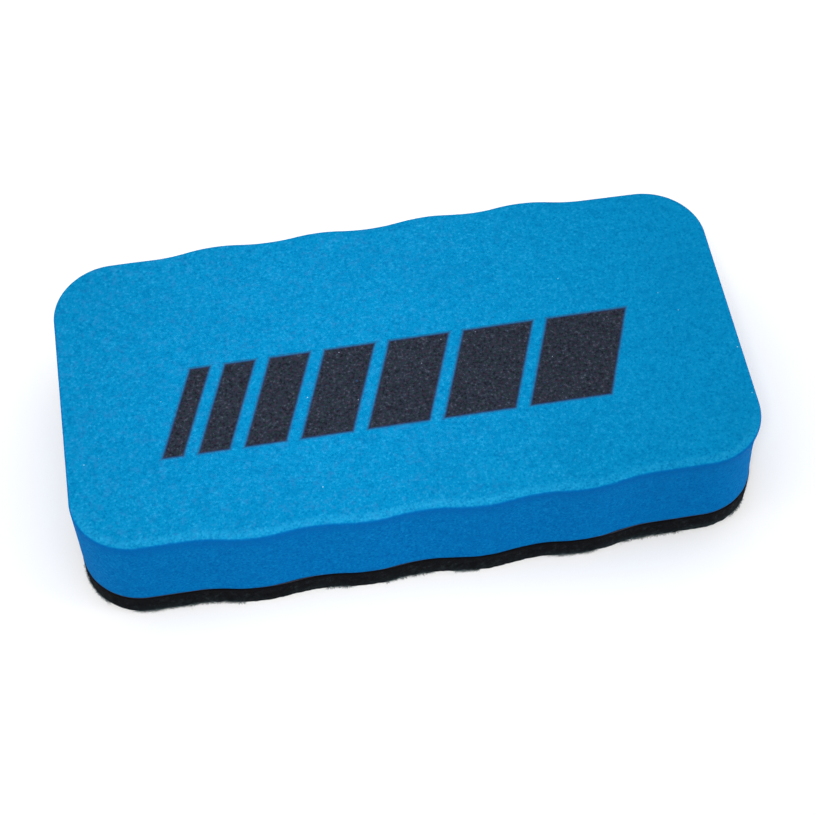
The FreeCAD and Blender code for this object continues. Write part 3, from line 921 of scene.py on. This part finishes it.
def make_box_light(name, place, size, power, spread):
    """A soft square box that faces the middle of the eraser. Its light fans out by spread degrees."""
    data = bpy.data.lights.new(name, "AREA")
    data.size = size
    data.spread = math.radians(spread)
    data.energy = power
    hang_light(data, place, (0, 0, (FELT_LOW.z + FOAM_HIGH.z) / 2))


def make_key_light():
    """A soft-edged key light from the front."""
    data = bpy.data.lights.new("key", "SPOT")
    data.spot_size = math.radians(KEY_CONE)
    data.spot_blend = 1.0
    data.shadow_soft_size = KEY_SIZE
    data.energy = KEY_POWER
    hang_light(data, KEY_PLACE, KEY_AIM)


def make_lights():
    """A large overhead box, a fill from each side, a front key a little to the left and an even room."""
    for box in BOX_LIGHTS:
        make_box_light(*box)
    make_key_light()
    world = bpy.data.worlds.new("room")
    world.use_nodes = True
    background = world.node_tree.nodes["Background"]
    background.inputs["Color"].default_value = (1.0, 1.0, 1.0, 1.0)
    background.inputs["Strength"].default_value = ROOM_LIGHT
    bpy.context.scene.world = world


def make_camera():
    """A camera above the front side, turned and rolled a little."""
    azimuth, elevation, roll = (
        math.radians(angle) for angle in (CAMERA_AZIMUTH, CAMERA_ELEVATION, CAMERA_ROLL)
    )
    flat = math.cos(elevation)
    back = Vector((math.sin(azimuth) * flat, -math.cos(azimuth) * flat, math.sin(elevation)))
    sideways = Vector((math.cos(azimuth), math.sin(azimuth), 0))
    upright = back.cross(sideways)
    right = math.cos(roll) * sideways + math.sin(roll) * upright
    up = back.cross(right)
    target = Vector((0, 0, FOAM_LOW.z)) + right * CAMERA_SHIFT[0] + up * CAMERA_SHIFT[1]
    data = bpy.data.cameras.new("camera")
    data.lens = FOCAL_LENGTH
    data.clip_start = 0.01
    camera = bpy.data.objects.new("camera", data)
    turned = Matrix((right, up, back)).transposed().to_4x4()
    turned.translation = target + back * CAMERA_DISTANCE
    camera.matrix_world = turned
    bpy.context.scene.collection.objects.link(camera)
    bpy.context.scene.camera = camera


# ---- putting it together --------------------------------------------------------------------------


def dress_node(node, material):
    """Gives a CAD node a better material."""
    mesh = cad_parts[node].data
    if not mesh.materials:
        mesh.materials.append(material)
    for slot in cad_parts[node].material_slots:
        slot.material = material


def attach(piece, slot, *nodes):
    """Rides a piece on the body and hides the CAD nodes that it stands for."""
    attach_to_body(piece, ROOT)
    if nodes:
        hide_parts(*nodes)


bpy.context.scene.view_settings.view_transform = "Standard"

foam = make_foam(foam_material())
attach(foam, "foam", "foam_body")

mark = make_mark(ink_material())
attach(mark, "ink", "printed_mark")

felt_black = felt_material("felt", *BLACK_TONES)
felt = make_felt(felt_black)
attach(felt, "felt", "felt_pad")

nap = felt_material("felt_nap", *NAP_TONES)
cut_edge = side_fibres("felt_edge_fibres", EDGE_FIBRES, EDGE_BAND, 0.25, 0.2, felt_black)
lower_rim = side_fibres("felt_rim_fibres", RIM_FIBRES, RIM_BAND, 0.6, 0.25, nap, tufted=True)
under = face_fibres("felt_face_fibres", FACE_FIBRES, nap)
for piece in (cut_edge, lower_rim, under):
    attach(piece, "felt")

ferrite = ferrite_material()
glue = glue_material()
for side in ("left", "right"):
    dress_node("magnet_" + side, ferrite)
    dress_node("magnet_glue_" + side, glue)
dress_node("felt_adhesive", film_material())

make_floor()
make_lights()
make_camera()
